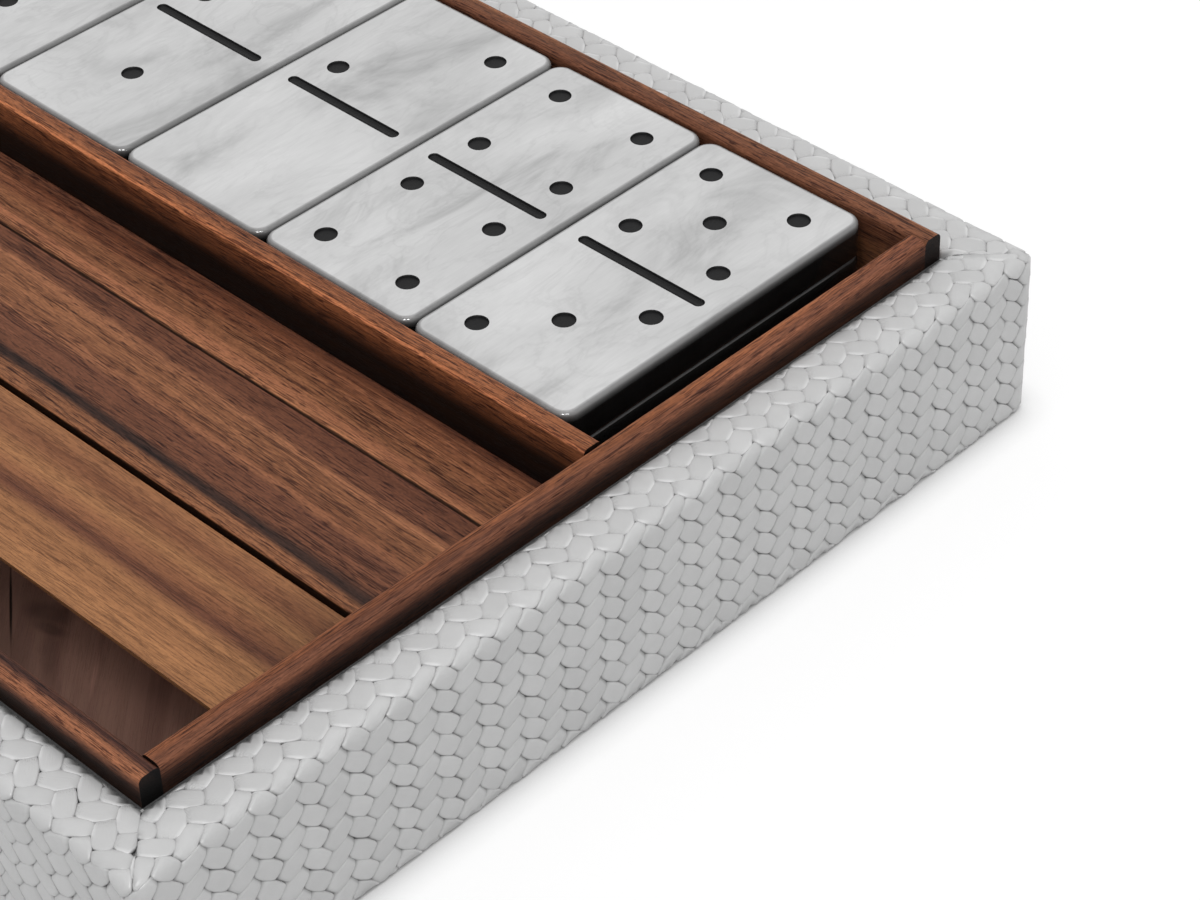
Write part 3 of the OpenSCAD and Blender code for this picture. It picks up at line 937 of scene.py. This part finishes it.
def make_tile(node, looks):
    """A tile in its place, with the numbers that its node's name gives."""
    upper, lower = (int(n) for n in node.split("_")[1:])
    low, high = box_mm(node)
    half_x, half_y, _ = (high - low) / 2
    thick = high[2] - low[2]
    marks = [(c, 0.0, PIP_R) for c in pip_places(upper, 1) + pip_places(lower, -1)]
    marks.append(((0, 0), (BAR_L - BAR_W) / 2, BAR_W / 2))
    builder = Builder()
    outline = tile_shell(builder, half_x, half_y, thick)
    tile_face(builder, outline, marks, thick)
    for mark in marks:
        tile_mark(builder, mark, thick)
    middle = np.array([(low[0] + high[0]) / 2, (low[1] + high[1]) / 2, low[2]])
    piece = make_piece("domino_" + node[5:], np.array(builder.points) + middle,
                       builder.faces, node, [node])
    mesh = piece.data
    for look in looks:
        mesh.materials.append(look)
    mesh.polygons.foreach_set("material_index", builder.materials)
    mesh.set_sharp_from_angle(angle=SHARP_FROM)
    shift = random.uniform(-CLOUD_SPREAD, CLOUD_SPREAD, 3)
    clouds = mesh.attributes.new("clouds", "FLOAT_VECTOR", "POINT")
    clouds.data.foreach_set("vector", np.tile(shift, len(mesh.vertices)).astype(np.float32))
    # Depths for the face side's darkening, partly painted shade, which goes faster on a buried
    # tile.
    below = mesh.attributes.new("below_top", "FLOAT", "POINT")
    on_top = high[2] > box_mm("rail_right")[1][2] - thick
    depths = (thick - np.array(builder.points)[:, 2]) * (1.0 if on_top else BURIED_SHADE)
    below.data.foreach_set("value", depths.astype(np.float32))


def marble_material():
    """Pale marbled face. Its sides darken towards the black back, partly as painted shade."""
    material, tree = make_material("tile_marble")
    shift = tree.add("Attribute", attribute_name="clouds").outputs["Vector"]
    place = tree.add("VectorMath", {0: tree.place_mm(), 1: shift},
                     operation="ADD").outputs[0]
    drift = tree.noise(place, 0.035, 3.0)
    turned = tree.add("Mapping", {"Vector": place, "Rotation": (0, 0, 0.6),
                                  "Scale": (1.0, 0.45, 1.0)}).outputs[0]
    clouds = tree.noise(turned, 0.075, 5.0, 0.55, 0.8)
    tone = tree.ramp(clouds, [(0.30, srgb(170, 170, 170)), (0.46, srgb(200, 200, 200)),
                              (0.70, srgb(213, 213, 213))])
    broad = tree.ramp(tree.noise(place, 0.03, 2.0), [(0.35, 0.93), (0.65, 1.05)])
    strokes = tree.noise(tree.scaled(place, (2.6, 0.25, 1.0)), 1.0, 3.0, 0.6)
    tone = tree.blend("MULTIPLY", 1.0, tone, broad)
    tone = tree.blend("MULTIPLY", 1.0, tone, tree.ramp(strokes, [(0.3, 0.96), (0.7, 1.03)]))
    wisps = tree.noise(turned, 0.12, 4.0, 0.6, 1.6)
    vein = tree.math("ABSOLUTE", tree.math("SUBTRACT", wisps, 0.5))
    veins = tree.ramp(vein, [(0.0, 0.86), (0.035, 0.97), (0.08, 1.0)])
    colour = tree.blend("MULTIPLY", drift, tone, veins)
    below = tree.add("Attribute", attribute_name="below_top").outputs["Fac"]
    depth = tree.math("DIVIDE", below, FADE_DEPTH)
    # Partly painted shade: the face's side darkens with its depth below the top.
    fade = tree.ramp(depth, [(0.0, 1.0), (0.02, 0.6), (0.07, 0.42), (0.18, 0.39), (0.4, 0.25),
                             (0.6, 0.16), (0.8, 0.08), (0.9, 0.045), (1.0, 0.018)])
    colour = tree.blend("MULTIPLY", 1.0, colour, fade)
    tree.surface({"Base Color": colour, "Roughness": 0.16})
    return material


def black_material():
    """The polished black back."""
    material, tree = make_material("tile_black")
    haze = tree.noise(tree.place_mm(), 0.3, 3.0)
    roughness = tree.ramp(haze, [(0.3, 0.08), (0.7, 0.13)])
    tone = tree.ramp(haze, [(0.3, 0.008), (0.7, 0.012)])
    tree.surface({"Base Color": tone, "Roughness": roughness})
    return material


def mark_material():
    """Near-black paint in the marks."""
    material, tree = make_material("tile_marks")
    speckle = tree.noise(tree.place_mm(), 6.0, 3.0)
    tone = tree.ramp(speckle, [(0.3, srgb(18, 18, 19)), (0.7, srgb(30, 30, 31))])
    tree.surface({"Base Color": tone, "Roughness": 0.45, "Specular IOR Level": 0.18,
                  "Normal": tree.bump(speckle, 0.03, 0.5)})
    return material


def make_tiles():
    looks = black_material(), marble_material(), mark_material()
    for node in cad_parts:
        if node.startswith("tile_"):
            make_tile(node, looks)


# ---- Scene ----------------------------------------------------------------------------

make_camera()
make_floor()
make_light()
make_braid().data.materials.append(leather_material())
make_backing().data.materials.append(backing_material())
dress_boards()
core = plain_wood()
for hidden in ("base_board", "core_back", "core_front", "core_left", "core_right"):
    dress(hidden, core)
sole = make_pad()
sole.data.materials.append(felt_material())
make_tiles()
